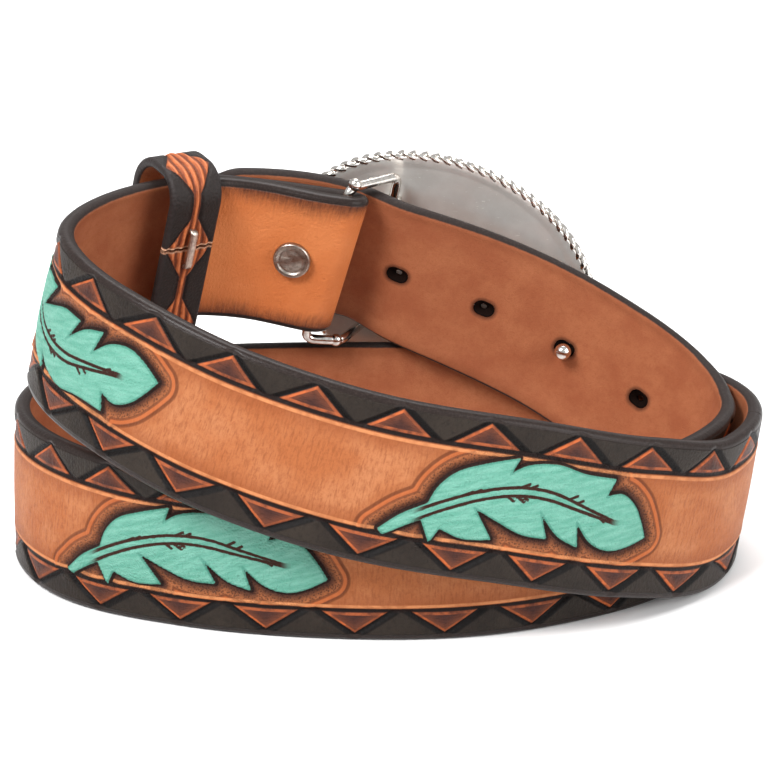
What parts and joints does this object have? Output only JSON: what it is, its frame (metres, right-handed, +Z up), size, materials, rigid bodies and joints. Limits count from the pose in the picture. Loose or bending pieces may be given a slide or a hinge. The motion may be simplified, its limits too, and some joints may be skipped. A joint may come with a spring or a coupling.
{
  "type": "western tooled belt",
  "caption": "Tooled leather strap coiled round on itself and fastened by an oval rope-edged buckle, with a folded end held by a snap and a leather keeper.",
  "frame": {"origin": "middle of the belt's bounding box on the floor it rests on", "axes": "+Z up, +X along the coil's length, -Y towards the front of the coil, buckle at +Y"},
  "size_m": [0.1814, 0.1224, 0.0947],
  "materials": {
    "tooled_leather": "tan tooled grain side with painted pattern, brown suede flesh side, dark burnished edges",
    "dark_leather": "satin dyed leather",
    "staple_steel": "bare wire",
    "aged_nickel": "antiqued nickel",
    "silver_plate": "bright silver plating"
  },
  "bodies": {
    "root": {"belt_strap": "tooled_leather", "strap_keeper": "dark_leather", "keeper_staple": "staple_steel", "fold_snap": "aged_nickel", "buckle_plate": "silver_plate", "buckle_bail": "silver_plate"}
  },
  "joints": []
}
